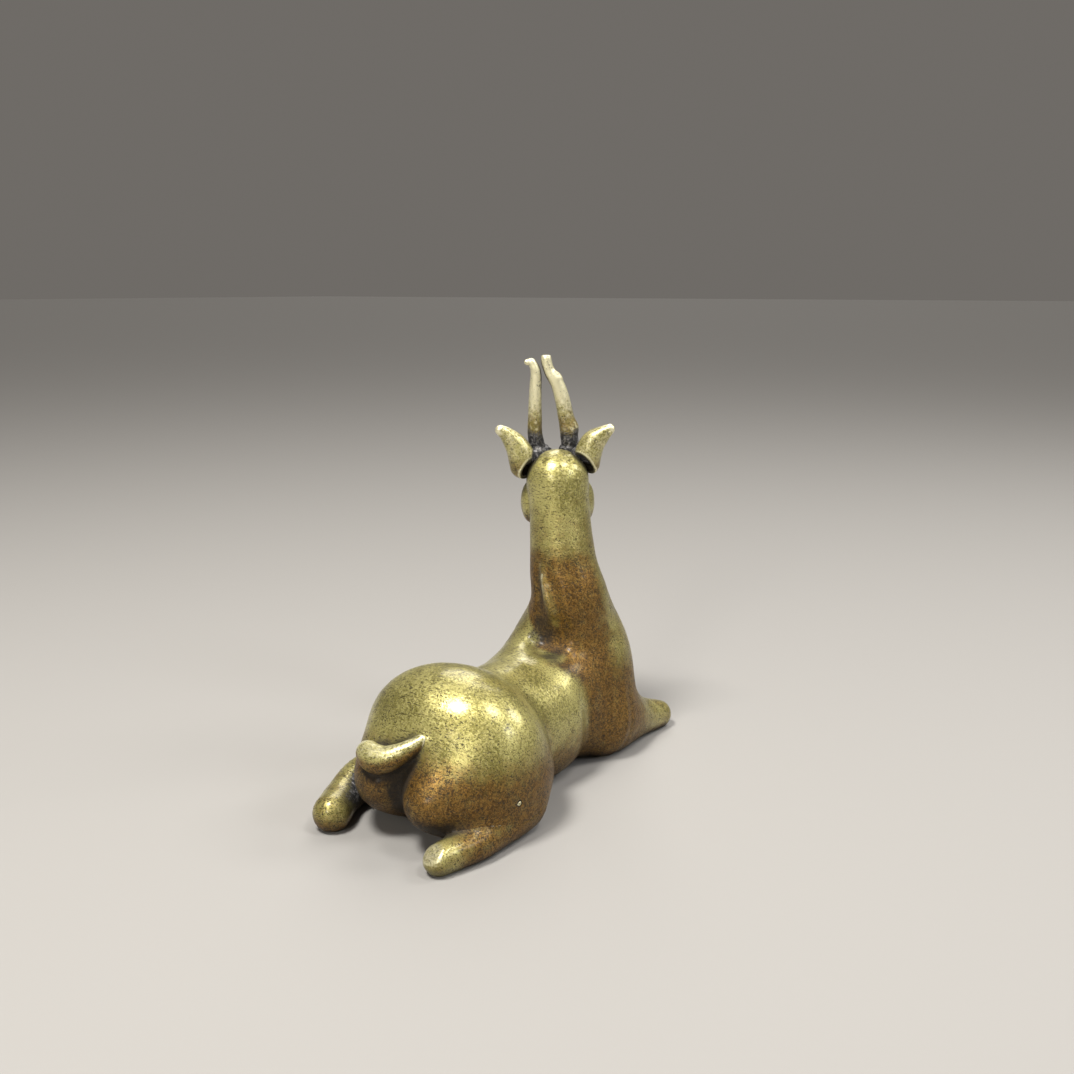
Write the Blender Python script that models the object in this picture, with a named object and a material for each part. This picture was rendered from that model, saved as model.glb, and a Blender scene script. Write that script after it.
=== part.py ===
"""Bronze statuette of a lying deer with two spike horns.

A hollow casting (trunk, neck, head and forelegs) carries pieces that were cast on their own and
soldered in: two hind legs, two horns, two ears and a tail roll, each on a tenon in a socket. A plate
closes the core opening in the belly, and a plug fills the hole of a core pin in the right haunch.

Lengths are millimetres until metres() turns them into Blender's units. +Z is up, the deer's body
points along -Y, and its own left is +X. The head is turned to the left. The figure was modelled by
hand, so the two sides differ a little.
"""

import math

import bmesh
import bpy
from mathutils import Matrix, Vector

MM = 0.001

# Fits and walls
GAP = 0.3
WALL = 2.4
TENON_DEPTH = 3.2
PLATE_THICKNESS = 1.6
PLATE_WIDTH = 10.0
PLATE_LENGTH = 34.0
PLATE_CENTRE_Y = -1.0
PLATE_LEDGE = 1.2
THROAT_BOTTOM = 0.4
THROAT_TOP = 8.0
THROAT_ABOVE_FLOOR = 3.0
OVERCUT = 1.0
CORE_PIN_RADIUS = 0.5
CORE_PIN_PROUD = 0.1
CORE_PIN_HOLE_OUTWARD = 3.0
CORE_PIN_HOLE_INWARD = 6.0

# Melting shapes into one skin: voxel size, rounds of smoothing, share of the triangles kept
BODY_MELT = (0.8, 6, 0.1)
CORE_MELT = (1.2, 4, 0.12)
LEG_MELT = (0.7, 2, 0.15)
PIECE_MELT = (0.45, 2, 0.15)
SCOOP_MELT = (0.35, 2, 0.3)

# Muscle masses of the body casting: centre, then radii
RUMP = ((-0.8, 21.4, 14.7), (17.2, 12.2, 12.7))
HAUNCH_RIGHT = ((-9.7, 21.4, 9.5), (9.3, 12.9, 12.2))
HAUNCH_LEFT = ((6.6, 21.7, 10.1), (8.7, 13.0, 11.4))
BUTTOCK_RIGHT = ((-6.3, 30.1, 9.3), (6.0, 9.4, 6.4))
BUTTOCK_LEFT = ((4.7, 29.4, 9.8), (5.6, 9.1, 5.6))
CHEST = ((-0.7, -19.5, 14.0), (12.8, 10.0, 17.2))
BELLY = ((-0.3, -2.0, 4.0), (8.8, 26.0, 6.5))

# Limbs: points along the middle, each with its radius
TRUNK = ((-0.6, 12.0, 12.7, 10.9), (-0.4, 0.0, 10.4, 12.8), (0.2, -12.0, 12.6, 12.9))
NECK = (
    (0.4, -17.5, 20.0, 10.4),
    (-1.8, -15.6, 30.0, 8.1),
    (-0.2, -15.6, 38.0, 6.8),
    (1.0, -16.1, 47.0, 6.1),
    (2.0, -16.5, 55.1, 5.9),
)
FORELEG = ((9.1, -17.9, 5.4, 6.6), (10.9, -26.7, 3.6, 4.2), (12.8, -33.8, 2.5, 2.9))
HIND_LEG_RIGHT = (
    (-14.0, 20.0, 4.4, 4.4),
    (-14.3, 26.0, 3.4, 3.5),
    (-14.2, 32.7, 2.7, 2.9),
    (-11.9, 39.7, 2.4, 2.7),
)
HIND_LEG_LEFT = (
    (13.0, 20.0, 4.6, 4.4),
    (16.4, 26.1, 3.9, 4.2),
    (15.6, 33.1, 3.0, 3.4),
    (13.1, 38.5, 2.9, 3.4),
)
TAIL = (
    (-3.0, 32.0, 18.4, 1.4),
    (-1.0, 35.6, 16.5, 1.8),
    (2.0, 37.4, 15.8, 2.1),
    (5.0, 37.6, 15.8, 2.0),
    (7.2, 36.8, 16.8, 1.4),
)
TAIL_ROOT = (-1.5, 34.5, 16.8)
TAIL_TENON_WAY = (-0.6, -1.0, 0.1)
CORE_PIN_PLACE = (-18.4, 26.2, 8.3)

# The head's own frame: origin on the neck's axis, then across to its right, forward and up
HEAD_TURN = math.radians(34.0)
HEAD_ORIGIN = Vector((1.9, -16.6, 0.0))
HEAD_FORWARD = Vector((math.sin(HEAD_TURN), -math.cos(HEAD_TURN), 0.0))
HEAD_RIGHT = Vector((-math.cos(HEAD_TURN), -math.sin(HEAD_TURN), 0.0))
HEAD_UP = Vector((0.0, 0.0, 1.0))

# Places on the head: across, forward, up and radius
MUZZLE = ((0.0, 1.0, 55.0, 5.6), (0.0, 5.5, 52.5, 5.2), (0.0, 11.0, 49.0, 3.9), (0.0, 13.5, 47.5, 3.1))
EYE_PLACE = (5.3, 2.5, 50.2)
EYE_RADII = (2.2, 3.4, 4.4)
HORN_LEFT = (
    (-3.0, 4.2, 58.5, 1.7),
    (-4.2, 3.5, 64.1, 1.5),
    (-4.3, 3.0, 68.5, 1.35),
    (-4.4, 2.2, 76.3, 1.05),
    (-5.2, 2.1, 78.1, 0.8),
    (-6.2, 2.1, 78.3, 0.6),
)
HORN_RIGHT = (
    (2.2, 4.2, 58.5, 1.8),
    (1.8, 3.5, 64.1, 1.75),
    (1.1, 3.0, 68.3, 1.55),
    (0.0, 2.5, 73.1, 1.4),
    (-1.5, 2.2, 76.7, 1.1),
    (-2.5, 2.1, 79.0, 0.95),
)
EAR = ((4.6, 0.6, 58.8, 1.1), (7.4, 0.3, 60.2, 2.5), (9.4, 0.0, 62.2, 1.9), (11.4, -0.4, 64.8, 0.9))
EAR_HOLLOW_SHIFT = (0.3, 1.5, -0.9)
EAR_WALL = 0.7
EAR_HOLLOW_LEAST_RADIUS = 0.3
EAR_TENON_AIM = (2.0, -1.8, 57.5)
EAR_TENON_OUTWARD = 0.8
HORN_TENON_RADIUS = 1.0
EAR_TENON_RADIUS = 0.8
LEG_TENON_RADIUS = 1.2
LEG_TENON_LENGTH = 8.0
LEG_TENON_AIM_Y = 18.0
LEG_TENON_AIM_Z = 8.0
HORN_SOLDER_RADII = (2.35, 2.35, 2.0)
HORN_SOLDER_RISE = 1.6
EAR_SOLDER_RADII = (1.9, 1.9, 1.9)
EAR_SOLDER_OUTWARD = 0.3


def clear_scene():
    for obj in list(bpy.data.objects):
        bpy.data.objects.remove(obj, do_unlink=True)


def metal(name, colour, roughness):
    made = bpy.data.materials.new(name)
    made.use_nodes = True
    shader = made.node_tree.nodes["Principled BSDF"]
    shader.inputs["Base Color"].default_value = (*colour, 1.0)
    shader.inputs["Metallic"].default_value = 1.0
    shader.inputs["Roughness"].default_value = roughness
    return made


def metres(place):
    return Vector(place) * MM


def on_head(across, forward, up):
    """A point of the head's frame, in the deer's millimetres."""
    return HEAD_ORIGIN + HEAD_RIGHT * across + HEAD_FORWARD * forward + HEAD_UP * up


def head_route(points):
    return [(*on_head(*point[:3]), point[3]) for point in points]


def mirrored(points):
    return [(-point[0], *point[1:]) for point in points]


# Building blocks


def object_of(name, mesh, material=None):
    obj = bpy.data.objects.new(name, mesh)
    bpy.context.scene.collection.objects.link(obj)
    if material:
        mesh.materials.append(material)
    return obj


def mesh_of(name, shape):
    mesh = bpy.data.meshes.new(name)
    shape.to_mesh(mesh)
    shape.free()
    return mesh


def add_ellipsoid(shape, centre, radii, turn=0.0, segments=32):
    stretch = Matrix.Diagonal((*metres(radii), 1.0))
    place = Matrix.Translation(metres(centre)) @ Matrix.Rotation(turn, 4, "Z") @ stretch
    bmesh.ops.create_uvsphere(
        shape, u_segments=segments, v_segments=segments // 2, radius=1.0, matrix=place
    )


def smooth_route(points, steps):
    """Points of a Catmull-Rom curve through the given ones, radius included."""
    stops = [Vector(point) for point in points]
    ends = [2 * stops[0] - stops[1], *stops, 2 * stops[-1] - stops[-2]]
    route = []
    for before, start, end, after in zip(ends, ends[1:], ends[2:], ends[3:]):
        for step in range(steps):
            t = step / steps
            bend = (2 * before - 5 * start + 4 * end - after) * t * t
            twist = (3 * start - before - 3 * end + after) * t * t * t
            route.append(0.5 * (2 * start + (end - before) * t + bend + twist))
    return [*route, stops[-1]]


def add_limb(shape, points, steps=3, segments=20):
    """A round tapered limb: the hulls of each two neighbouring balls along its route."""
    route = smooth_route(points, steps)
    for start, end in zip(route, route[1:]):
        link = bmesh.new()
        add_ellipsoid(link, start[:3], (start[3],) * 3, segments=segments)
        add_ellipsoid(link, end[:3], (end[3],) * 3, segments=segments)
        hull = bmesh.ops.convex_hull(link, input=link.verts)
        loose = {piece for piece in hull["geom_interior"] if isinstance(piece, bmesh.types.BMVert)}
        bmesh.ops.delete(link, geom=list(loose), context="VERTS")
        mesh = mesh_of("link", link)
        shape.from_mesh(mesh)
        bpy.data.meshes.remove(mesh)


def add_cylinder(shape, start, end, radius, segments=24):
    start, end = metres(start), metres(end)
    along = end - start
    place = Matrix.Translation((start + end) / 2) @ along.to_track_quat("Z", "Y").to_matrix().to_4x4()
    bmesh.ops.create_cone(
        shape,
        cap_ends=True,
        segments=segments,
        radius1=radius * MM,
        radius2=radius * MM,
        depth=along.length,
        matrix=place,
    )


def add_obround(shape, width, length, centre, bottom, top, segments=10):
    """An upright prism whose outline has straight sides and half-round ends."""
    outline = []
    for end, first in ((1, 0.0), (-1, math.pi)):
        for step in range(segments + 1):
            turn = first + math.pi * step / segments
            x = width / 2 * math.cos(turn)
            y = width / 2 * math.sin(turn) + end * (length - width) / 2
            outline.append(shape.verts.new(metres((centre[0] + x, centre[1] + y, bottom))))
    face = shape.faces.new(outline)
    raised = bmesh.ops.extrude_face_region(shape, geom=[face])
    lifted = [piece for piece in raised["geom"] if isinstance(piece, bmesh.types.BMVert)]
    bmesh.ops.translate(shape, verts=lifted, vec=metres((0, 0, top - bottom)))
    bmesh.ops.recalc_face_normals(shape, faces=shape.faces)


def fuse(obj, voxel, rounds, keep):
    """Melts overlapping shapes into one skin, rounds its creases and thins its faces."""
    remesh = obj.modifiers.new("melt", "REMESH")
    remesh.mode = "VOXEL"
    remesh.voxel_size = voxel * MM
    smooth = obj.modifiers.new("round", "SMOOTH")
    smooth.factor = 0.5
    smooth.iterations = rounds
    thin = obj.modifiers.new("thin", "DECIMATE")
    thin.ratio = keep


def freeze(obj):
    """Replaces the object's mesh by what its modifiers make of it."""
    bpy.context.view_layer.update()
    graph = bpy.context.evaluated_depsgraph_get()
    mesh = bpy.data.meshes.new_from_object(obj.evaluated_get(graph))
    obj.modifiers.clear()
    obj.data = mesh
    return obj


def helper(obj):
    obj.hide_render = True
    obj.display_type = "WIRE"
    return obj


def grown(obj, by):
    """A helper with the object's shape, its skin moved outwards."""
    copy = object_of(f"{obj.name}.grown", obj.data.copy())
    swell = copy.modifiers.new("swell", "DISPLACE")
    swell.strength = by * MM
    swell.mid_level = 0.0
    return helper(freeze(copy))


def boolean(obj, other, operation):
    step = obj.modifiers.new(f"{operation.lower()} {other.name}", "BOOLEAN")
    step.operation = operation
    step.object = other
    step.solver = "EXACT"


def keep_largest(obj):
    """Drops the crumbs a Boolean leaves where a limb grazes the skin it is cut by."""
    shape = bmesh.new()
    shape.from_mesh(obj.data)
    unseen = set(shape.verts)
    islands = []
    while unseen:
        island = set()
        edge = {unseen.pop()}
        while edge:
            island |= edge
            edge = {link.other_vert(vert) for vert in edge for link in vert.link_edges} - island
        unseen -= island
        islands.append(island)
    islands.sort(key=len)
    crumbs = [vert for island in islands[:-1] for vert in island]
    bmesh.ops.delete(shape, geom=crumbs, context="VERTS")
    shape.to_mesh(obj.data)
    shape.free()


def shade(obj):
    obj.data.shade_smooth()
    obj.data.set_sharp_from_angle(angle=math.radians(40))


# The body casting


def add_body_masses(shape, less):
    """The casting's muscle masses, each smaller by the given amount."""
    for centre, radii in (RUMP, HAUNCH_RIGHT, HAUNCH_LEFT, CHEST, BELLY):
        add_ellipsoid(shape, centre, [radius - less for radius in radii])
    add_limb(shape, [(*point[:3], point[3] - less) for point in TRUNK])
    add_limb(shape, [(*point[:3], point[3] - less) for point in NECK])


def body_skin(material):
    shape = bmesh.new()
    add_body_masses(shape, 0.0)
    for centre, radii in (BUTTOCK_RIGHT, BUTTOCK_LEFT):
        add_ellipsoid(shape, centre, radii)
    add_limb(shape, FORELEG)
    add_limb(shape, mirrored(FORELEG))
    add_limb(shape, head_route(MUZZLE))
    across, forward, up = EYE_PLACE
    for side in (-1, 1):
        add_ellipsoid(shape, on_head(side * across, forward, up), EYE_RADII, HEAD_TURN, 20)
    body = object_of("body_casting", mesh_of("body_casting", shape), material)
    fuse(body, *BODY_MELT)
    return freeze(body)


def core_cutter():
    """What the casting's core leaves: a smaller body, and the throat it came out through."""
    shape = bmesh.new()
    add_body_masses(shape, WALL)
    throat_width = PLATE_WIDTH - 2 * PLATE_LEDGE
    throat_length = PLATE_LENGTH - 2 * PLATE_LEDGE
    add_obround(shape, throat_width, throat_length, (0, PLATE_CENTRE_Y), THROAT_BOTTOM, THROAT_TOP)
    core = object_of("core", mesh_of("core", shape))
    fuse(core, *CORE_MELT)
    freeze(core)
    floor = slab("core_floor", top=WALL)
    boolean(core, floor, "DIFFERENCE")
    freeze(core)
    throat = bmesh.new()
    top = WALL + THROAT_ABOVE_FLOOR
    add_obround(throat, throat_width, throat_length, (0, PLATE_CENTRE_Y), -OVERCUT, top)
    boolean(core, helper(object_of("throat", mesh_of("throat", throat))), "UNION")
    return helper(freeze(core))


def slab(name, top):
    """Everything below a height."""
    side, depth = 200.0, 20.0
    shape = bmesh.new()
    middle = Matrix.Translation(metres((0, 0, top - depth / 2)))
    stretch = Matrix.Diagonal((*metres((side, side, depth)), 1.0))
    bmesh.ops.create_cube(shape, size=1.0, matrix=middle @ stretch)
    return helper(object_of(name, mesh_of(name, shape)))


def peg(name, start, end, radius):
    shape = bmesh.new()
    add_cylinder(shape, start, end, radius)
    return helper(object_of(name, mesh_of(name, shape)))


def set_piece(name, points, material, skin, body, tenon, radius, melt=PIECE_MELT, hollow=None):
    """A piece that stands on the body's skin, with its tenon, and the socket for it in the body."""
    shape = bmesh.new()
    add_limb(shape, points, segments=16)
    piece = object_of(name, mesh_of(name, shape), material)
    fuse(piece, *melt)
    freeze(piece)
    if hollow:
        boolean(piece, hollow, "DIFFERENCE")
    boolean(piece, skin, "DIFFERENCE")
    keep_largest(freeze(piece))
    root, tip = tenon
    along = (tip - root).normalized()
    boolean(piece, peg(f"{name}.tenon", root, tip, radius), "UNION")
    socket = peg(f"{name}.socket", root - along * radius, tip + along * GAP, radius + GAP)
    boolean(body, socket, "DIFFERENCE")
    return piece


def ear_scoop(name, hand):
    """What hollows an ear: a thinner ear, moved towards the side where the ear opens."""
    across, forward, up = EAR_HOLLOW_SHIFT
    inner = []
    for point in EAR[1:]:
        radius = max(point[3] - EAR_WALL, EAR_HOLLOW_LEAST_RADIUS)
        inner.append((hand * (point[0] + across), point[1] + forward, point[2] + up, radius))
    shape = bmesh.new()
    add_limb(shape, head_route(inner))
    scoop = object_of(name, mesh_of(name, shape))
    fuse(scoop, *SCOOP_MELT)
    return helper(freeze(scoop))


def collar(name, place, radii, material, neighbours):
    """Solder run round the root of a piece, kept clear of the skin and pieces beside it."""
    shape = bmesh.new()
    add_ellipsoid(shape, place, radii, segments=20)
    ring = object_of(name, mesh_of(name, shape), material)
    for neighbour in neighbours:
        boolean(ring, neighbour, "DIFFERENCE")
    keep_largest(freeze(ring))
    shade(ring)
    return ring


def stand_on_origin():
    """Moves everything so that the origin is in the middle of the figure's footprint, at its foot."""
    bpy.context.view_layer.update()
    graph = bpy.context.evaluated_depsgraph_get()
    corners = []
    for obj in bpy.data.objects:
        if not obj.hide_render:
            corners += [Vector(corner) for corner in obj.evaluated_get(graph).bound_box]
    low = [min(corner[axis] for corner in corners) for axis in range(3)]
    high = [max(corner[axis] for corner in corners) for axis in range(3)]
    for obj in bpy.data.objects:
        obj.location = (-(low[0] + high[0]) / 2, -(low[1] + high[1]) / 2, -low[2])


def main():
    clear_scene()
    bronze = metal("bronze", (0.42, 0.36, 0.15), 0.36)
    worn_bronze = metal("worn_bronze", (0.62, 0.54, 0.30), 0.42)
    solder = metal("solder", (0.12, 0.12, 0.13), 0.62)

    body = body_skin(bronze)
    skin = grown(body, GAP)
    floor = slab("floor", top=0.0)
    boolean(body, floor, "DIFFERENCE")
    boolean(body, core_cutter(), "DIFFERENCE")

    middle = (0, PLATE_CENTRE_Y)
    width, length = PLATE_WIDTH + 2 * GAP, PLATE_LENGTH + 2 * GAP
    shape = bmesh.new()
    add_obround(shape, width, length, middle, -OVERCUT, PLATE_THICKNESS + GAP)
    boolean(body, helper(object_of("plate_recess", mesh_of("plate_recess", shape))), "DIFFERENCE")
    shape = bmesh.new()
    add_obround(shape, PLATE_WIDTH, PLATE_LENGTH, middle, 0.0, PLATE_THICKNESS)
    object_of("belly_plate", mesh_of("belly_plate", shape), bronze)

    for side, route in (("left", HIND_LEG_LEFT), ("right", HIND_LEG_RIGHT)):
        out = Vector(route[2][:3])
        inward = Vector((out.x / 2, LEG_TENON_AIM_Y, LEG_TENON_AIM_Z)) - out
        tenon = (out, out + inward.normalized() * LEG_TENON_LENGTH)
        leg = set_piece(f"hind_leg_{side}", route, bronze, skin, body, tenon, LEG_TENON_RADIUS, LEG_MELT)
        boolean(leg, floor, "DIFFERENCE")
        shade(leg)

    root = Vector(TAIL_ROOT)
    tenon = (root, root + Vector(TAIL_TENON_WAY).normalized() * TENON_DEPTH)
    tail = set_piece("tail", TAIL, worn_bronze, skin, body, tenon, EAR_TENON_RADIUS)
    shade(tail)

    horn_solder = {}
    for side, route in (("left", HORN_LEFT), ("right", HORN_RIGHT)):
        points = head_route(route)
        foot, above = Vector(points[0][:3]), Vector(points[1][:3])
        tenon = (above, foot - (above - foot).normalized() * TENON_DEPTH)
        horn = set_piece(f"horn_{side}", points, worn_bronze, skin, body, tenon, HORN_TENON_RADIUS)
        inner = grown(freeze(horn), GAP)
        place = foot + HEAD_UP * HORN_SOLDER_RISE
        horn_solder[side] = collar(f"horn_solder_{side}", place, HORN_SOLDER_RADII, solder, (skin, inner))
        shade(horn)

    for side, hand in (("left", -1), ("right", 1)):
        points = head_route(EAR if hand > 0 else mirrored(EAR))
        scoop = ear_scoop(f"ear_{side}.hollow", hand)
        stem = Vector(points[0][:3])
        across, forward, up = EAR_TENON_AIM
        inward = (on_head(hand * across, forward, up) - stem).normalized()
        tenon = (stem - inward * EAR_TENON_OUTWARD, stem + inward * TENON_DEPTH)
        ear = set_piece(f"ear_{side}", points, worn_bronze, skin, body, tenon, EAR_TENON_RADIUS, hollow=scoop)
        inner = grown(freeze(ear), GAP)
        neighbours = (skin, inner, grown(horn_solder[side], GAP))
        place = stem - inward * EAR_SOLDER_OUTWARD
        collar(f"ear_solder_{side}", place, EAR_SOLDER_RADII, solder, neighbours)
        shade(ear)

    place = Vector(CORE_PIN_PLACE)
    inward = (Vector(HAUNCH_RIGHT[0]) - place).normalized()
    shape = bmesh.new()
    add_cylinder(shape, place - inward * CORE_PIN_PROUD, place + inward * WALL, CORE_PIN_RADIUS, 16)
    object_of("core_pin_plug", mesh_of("core_pin_plug", shape), worn_bronze)
    start, end = place - inward * CORE_PIN_HOLE_OUTWARD, place + inward * CORE_PIN_HOLE_INWARD
    boolean(body, peg("core_pin_hole", start, end, CORE_PIN_RADIUS + GAP), "DIFFERENCE")
    shade(body)
    stand_on_origin()


main()
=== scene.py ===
"""Looks of the bronze deer: a lying deer, cast and soldered together, with worn horns and ears.

The deer is sculpted as a signed distance (millimetres, negative inside) made of the same muscle
masses as the CAD. The body, the hind legs and the tail are one blended skin, cut along their joints, so
that each fillet carries a hairline seam as soldered castings do. The horns, the ears and the solder are
shapes of their own. Vertex attributes say how hollow, how worn, how brown and how grey the skin is at
each point, and one procedural metal reads them. The hollow mark is painted shade in hollows, creases,
under the rump and near the ground, with some dirt. The worn mark is wear, with painted highlights on
the tail's top, the shoulders' top and the neck's ridge. The brown mark is patina, with brown painted
shade on low and downward-facing parts.

Lengths are millimetres in the deer's own frame until the meshes are made. +Z is up, the body points
along -Y, and the deer's own left is +X.
"""

import math
from concurrent.futures import ThreadPoolExecutor

import bpy
import numpy as np
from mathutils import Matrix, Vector


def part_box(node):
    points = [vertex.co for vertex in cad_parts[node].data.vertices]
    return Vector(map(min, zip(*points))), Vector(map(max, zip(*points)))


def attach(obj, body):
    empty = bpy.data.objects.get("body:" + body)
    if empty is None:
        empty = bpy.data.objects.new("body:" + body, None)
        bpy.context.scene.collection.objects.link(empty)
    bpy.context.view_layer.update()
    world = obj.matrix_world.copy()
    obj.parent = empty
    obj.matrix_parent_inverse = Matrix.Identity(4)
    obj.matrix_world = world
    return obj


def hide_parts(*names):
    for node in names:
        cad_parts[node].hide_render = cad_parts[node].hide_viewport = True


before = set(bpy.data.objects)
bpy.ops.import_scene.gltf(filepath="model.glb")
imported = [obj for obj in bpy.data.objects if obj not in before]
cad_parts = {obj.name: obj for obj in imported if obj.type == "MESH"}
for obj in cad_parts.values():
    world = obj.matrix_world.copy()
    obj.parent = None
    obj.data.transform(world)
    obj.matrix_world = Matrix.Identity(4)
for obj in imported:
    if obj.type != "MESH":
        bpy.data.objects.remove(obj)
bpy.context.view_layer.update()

MM = 0.001
PLATE_CENTRE = (0.0, -1.0)
plate_low, plate_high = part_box("belly_plate")
SHIFT = np.array(
    [
        (plate_low[0] + plate_high[0]) / 2 / MM - PLATE_CENTRE[0],
        (plate_low[1] + plate_high[1]) / 2 / MM - PLATE_CENTRE[1],
        plate_low[2] / MM,
    ]
)

# Muscle masses: centre, then radii
RUMP = ((-0.8, 21.4, 14.7), (17.2, 12.2, 12.7))
HAUNCH_RIGHT = ((-9.7, 21.4, 9.5), (9.3, 12.9, 12.2))
HAUNCH_LEFT = ((6.6, 21.7, 10.1), (8.7, 13.0, 11.4))
BUTTOCK_RIGHT = ((-6.3, 30.1, 8.6), (6.0, 9.2, 5.7))
BUTTOCK_LEFT = ((4.7, 29.4, 9.2), (5.6, 9.0, 5.1))
CHEST = ((-0.7, -19.5, 14.0), (12.8, 10.0, 17.2))

# Limbs: points along the middle, each with its radius
TRUNK = ((-0.6, 12.0, 12.7, 10.9), (-0.4, 0.0, 10.4, 12.8), (0.2, -12.0, 12.6, 12.9))
NECK = (
    (0.4, -17.5, 20.0, 10.4),
    (-1.8, -15.6, 30.0, 8.1),
    (-0.2, -15.6, 38.0, 6.8),
    (1.0, -16.1, 47.0, 6.1),
    (2.0, -16.5, 54.8, 5.9),
)
FORELEG = ((8.6, -16.5, 6.4, 7.4), (10.9, -26.7, 4.0, 4.4), (12.8, -33.8, 2.6, 3.0))
HIND_LEG_RIGHT = (
    (-14.0, 20.0, 4.4, 4.4),
    (-14.3, 26.0, 3.4, 3.5),
    (-14.2, 32.7, 2.7, 2.9),
    (-11.9, 39.7, 2.4, 2.7),
)
HIND_LEG_LEFT = (
    (13.0, 20.0, 4.6, 4.4),
    (16.4, 26.1, 3.9, 4.2),
    (15.6, 33.1, 3.0, 3.4),
    (13.1, 38.5, 2.9, 3.4),
)
TAIL = (
    (-3.3, 32.4, 18.6, 0.8),
    (-2.2, 34.0, 17.5, 1.35),
    (-0.4, 35.8, 16.2, 1.9),
    (1.8, 36.9, 15.2, 2.3),
    (4.1, 37.0, 14.9, 2.5),
    (5.9, 36.5, 15.3, 2.1),
)

# The head's own frame: origin on the neck's axis, then across to its right, forward and up
HEAD_TURN = math.radians(34.0)
HEAD_ORIGIN = np.array([1.9, -16.6, 0.0])
HEAD_FORWARD = np.array([math.sin(HEAD_TURN), -math.cos(HEAD_TURN), 0.0])
HEAD_RIGHT = np.array([-math.cos(HEAD_TURN), -math.sin(HEAD_TURN), 0.0])
HEAD_UP = np.array([0.0, 0.0, 1.0])

# Places on the head: across, forward, up and radius
MUZZLE = (
    (0.0, 1.0, 55.0, 5.6),
    (0.0, 5.5, 52.5, 5.2),
    (0.0, 11.0, 49.0, 3.9),
    (0.0, 13.5, 47.5, 3.1),
)
CHEEK_PLACE = (5.3, 2.5, 50.2)
CHEEK_RADII = (2.2, 3.4, 4.4)
EYE_PLACE = (6.3, 5.2, 52.0)
EYE_RADII = (0.9, 1.5, 1.0)
NOSTRIL_PLACE = (1.3, 16.0, 48.4)
NOSTRIL_RADIUS = 0.5
MOUTH = (
    (-2.9, 12.6, 45.6, 0.25),
    (-1.6, 15.4, 45.9, 0.25),
    (1.6, 15.4, 45.9, 0.25),
    (2.9, 12.6, 45.6, 0.25),
)
HORN_LEFT = (
    (-3.0, 4.2, 57.0, 1.9),
    (-4.1, 3.8, 61.0, 1.65),
    (-4.6, 3.5, 64.1, 1.5),
    (-4.6, 3.0, 68.5, 1.35),
    (-4.5, 2.5, 73.0, 1.2),
    (-4.4, 2.2, 76.3, 1.05),
    (-5.2, 2.1, 78.1, 0.8),
    (-6.2, 2.1, 78.2, 0.55),
)
HORN_RIGHT = (
    (2.8, 4.2, 57.0, 2.0),
    (2.5, 3.8, 61.0, 1.8),
    (2.2, 3.5, 64.1, 1.75),
    (1.4, 3.0, 68.3, 1.55),
    (0.2, 2.5, 73.1, 1.4),
    (-1.7, 2.2, 76.4, 1.1),
    (-2.3, 2.1, 78.2, 1.1),
    (-2.4, 2.1, 79.4, 1.05),
)

# The height at which the right horn is broken off flat, and the lumps on its side
HORN_RIGHT_TOP = 79.6
HORN_RIGHT_LUMPS = ((-0.3, 2.3, 75.1, 1.05), (2.6, 3.2, 64.9, 1.5))
EAR_LEFT = (
    (-11.5, -0.6, 65.1, 1.0),
    (-10.2, -0.3, 64.2, 1.45),
    (-8.6, 0.1, 62.4, 2.15),
    (-7.5, 0.4, 60.3, 2.6),
    (-6.9, 0.7, 57.9, 2.75),
)
EAR_RIGHT = (
    (10.2, -0.6, 65.3, 1.0),
    (8.8, -0.3, 64.3, 1.6),
    (7.0, 0.1, 62.6, 2.4),
    (6.0, 0.4, 60.3, 2.7),
    (5.8, 0.7, 58.4, 2.6),
)
EAR_WALL = 0.6

# The plane that opens each ear towards the head: a point on it and the way out of the ear
EAR_MOUTH_LEFT = ((-6.1, -1.9, 59.1), (0.63, -0.63, -0.45))
EAR_MOUTH_RIGHT = ((5.9, -1.7, 59.2), (-0.58, -0.52, -0.63))

# The slot that opens each ear forwards: how far it lies out, forwards and up from the ear's middle, how
# much narrower than the ear it is, and which of the ear's points it follows
EAR_SLOT_SHIFT = (0.35, 1.1, 0.1)
EAR_SLOT_WALL = 1.0
EAR_SLOT_POINTS = slice(1, 4)


# Sculpting

# Farther than anything, the least number to divide by, and how far round a tube it is worked out exactly
FAR = 1e9
SMALL = 1e-6
LIMB_REACH = 9.0


def on_head(across, forward, up):
    return HEAD_ORIGIN + HEAD_RIGHT * across + HEAD_FORWARD * forward + HEAD_UP * up


def head_way(across, forward, up):
    way = HEAD_RIGHT * across + HEAD_FORWARD * forward + HEAD_UP * up
    return way / np.linalg.norm(way)


def head_route(points):
    return [(*on_head(*point[:3]), point[3]) for point in points]


def mirrored(points):
    return [(-point[0], *point[1:]) for point in points]


def smooth_route(points, steps):
    """Points of a Catmull-Rom curve through the given ones, radius included, with steps to each stretch."""
    stops = np.array(points, float)
    ends = np.vstack([2 * stops[0] - stops[1], stops, 2 * stops[-1] - stops[-2]])
    route = []
    for before, start, end, after in zip(ends, ends[1:], ends[2:], ends[3:]):
        for t in np.arange(steps) / steps:
            bend = (2 * before - 5 * start + 4 * end - after) * t**2
            twist = (3 * start - before - 3 * end + after) * t**3
            route.append(0.5 * (2 * start + (end - before) * t + bend + twist))
    return np.array([*route, stops[-1]])


def ellipsoid(p, centre, radii, turn=0.0):
    c, s = math.cos(turn), math.sin(turn)
    q = (p - np.array(centre)) @ np.array([[c, -s, 0], [s, c, 0], [0, 0, 1]])
    r = np.array(radii, float)
    near = np.linalg.norm(q / r, axis=1)
    steep = np.linalg.norm(q / r**2, axis=1)
    return near * (near - 1) / np.maximum(steep, SMALL)


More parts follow.
